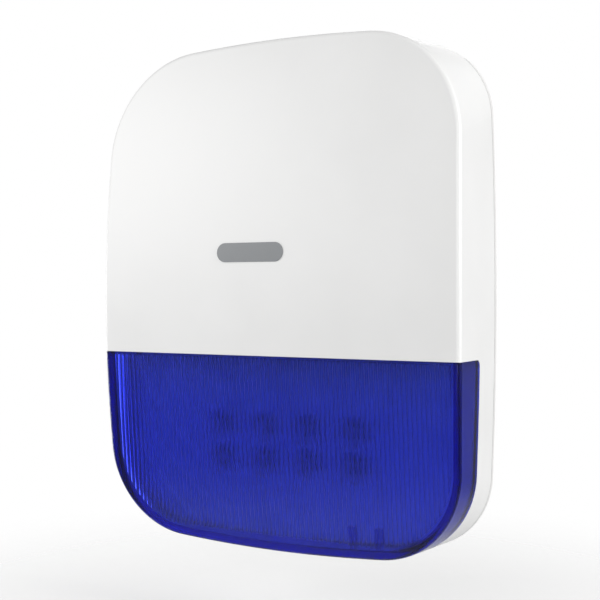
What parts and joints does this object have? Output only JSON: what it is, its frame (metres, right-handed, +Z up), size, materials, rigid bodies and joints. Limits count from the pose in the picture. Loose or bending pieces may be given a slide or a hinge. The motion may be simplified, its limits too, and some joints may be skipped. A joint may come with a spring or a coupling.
{
  "type": "alarm siren",
  "caption": "Wall-mounted outdoor alarm siren: white case hinged on a base plate, fluted blue strobe lens, sounder, battery and tamper switches inside.",
  "frame": {"origin": "middle of the case's outline, on the wall plane at the back of the base plate", "axes": "+X to the right seen from the front, -Y out of the wall through the face, +Z up"},
  "size_m": [0.19, 0.0452, 0.24],
  "materials": {
    "case_white": "satin moulded ABS",
    "lens_blue": "clear blue polycarbonate, glossy",
    "base_white": "moulded ABS",
    "badge_grey": "satin inlay",
    "steel": "zinc-plated",
    "stainless": "stainless steel",
    "nylon": "natural nylon",
    "board_green": "solder resist",
    "shield_tin": "tin-plated",
    "copper": "enamelled copper",
    "gold_brass": "rolled brass",
    "black_plastic": "moulded",
    "blue_plastic": "moulded",
    "can_black": "sleeved aluminium",
    "ferrite": "sintered",
    "chip_black": "epoxy",
    "header_white": "nylon",
    "button_black": "moulded",
    "led_clear": "clear epoxy",
    "reflector_grey": "metallised",
    "ceramic_white": "silvered",
    "cell_sleeve": "shrink sleeve",
    "rubber_black": "matt",
    "lead_red": "PVC insulation"
  },
  "bodies": {
    "base": {"base_plate": "base_white", "hinge_pins": "stainless", "main_pcb": "board_green", "pcb_screws": "steel", "radio_board": "board_green", "radio_shield": "shield_tin", "antenna_coil": "copper", "terminal_block": "blue_plastic", "terminal_screws": "steel", "capacitors": "can_black", "inductor_core": "ferrite", "inductor_winding": "copper", "chip_packages": "chip_black", "lead_headers": "header_white", "lead_plugs": "header_white", "learn_button_body": "black_plastic", "power_switch_body": "shield_tin", "cover_tamper_body": "black_plastic", "cover_tamper_spring": "steel", "wall_tamper_body": "black_plastic", "wall_tamper_spring": "steel", "light_board": "board_green", "light_board_screws": "steel", "light_emitters": "led_clear", "light_reflector": "reflector_grey", "sounder_housing": "black_plastic", "sounder_disc_holder": "black_plastic", "piezo_disc": "gold_brass", "piezo_ceramic": "ceramic_white", "sounder_screws": "steel", "battery_tray": "black_plastic", "battery_cells": "cell_sleeve", "battery_contacts": "shield_tin", "battery_springs": "steel", "cable_grommet": "rubber_black", "battery_leads": "lead_red", "sounder_leads": "lead_red", "light_leads": "lead_red"},
    "cover": {"front_cover": "case_white", "strobe_lens": "lens_blue", "blank_badge": "badge_grey"},
    "washer": {"lock_washer": "nylon"},
    "lock": {"lock_screw": "stainless"},
    "cover_plunger": {"cover_tamper_plunger": "nylon"},
    "wall_plunger": {"wall_tamper_plunger": "nylon"},
    "button": {"learn_button_cap": "button_black"},
    "switch": {"power_switch_knob": "button_black"}
  },
  "joints": [
    {"name": "cover_hinge", "type": "hinge", "parent": "base", "child": "cover", "pos_m": [0, -0.0066, 0.1139], "axis": [-1, 0, 0], "range_deg": [0, 85]},
    {"name": "lock_turn", "type": "hinge", "parent": "washer", "child": "lock", "pos_m": [0, -0.012, -0.118], "axis": [0, 0, 1], "range_deg": [0, 1441]},
    {"name": "lock_travel", "type": "slide", "parent": "base", "child": "washer", "axis": [0, 0, -1], "range_m": [0, 0.0028]},
    {"name": "cover_tamper_press", "type": "slide", "parent": "base", "child": "cover_plunger", "axis": [0, 1, 0], "range_m": [0, 0.0025], "stiffness_N_per_m": 60, "springref_m": -0.004, "deforming": ["cover_tamper_spring"]},
    {"name": "wall_tamper_press", "type": "slide", "parent": "base", "child": "wall_plunger", "axis": [0, -1, 0], "range_m": [0, 0.002], "stiffness_N_per_m": 60, "springref_m": -0.004, "deforming": ["wall_tamper_spring"]},
    {"name": "learn_button_press", "type": "slide", "parent": "base", "child": "button", "axis": [0, 1, 0], "range_m": [0, 0.0006], "stiffness_N_per_m": 300, "springref_m": -0.001},
    {"name": "power_switch_slide", "type": "slide", "parent": "base", "child": "switch", "axis": [1, 0, 0], "range_m": [0, 0.003]}
  ],
  "couplings": [
    {"joint": "lock_turn", "follows": "lock_travel", "rad_per_m": 8976}
  ]
}
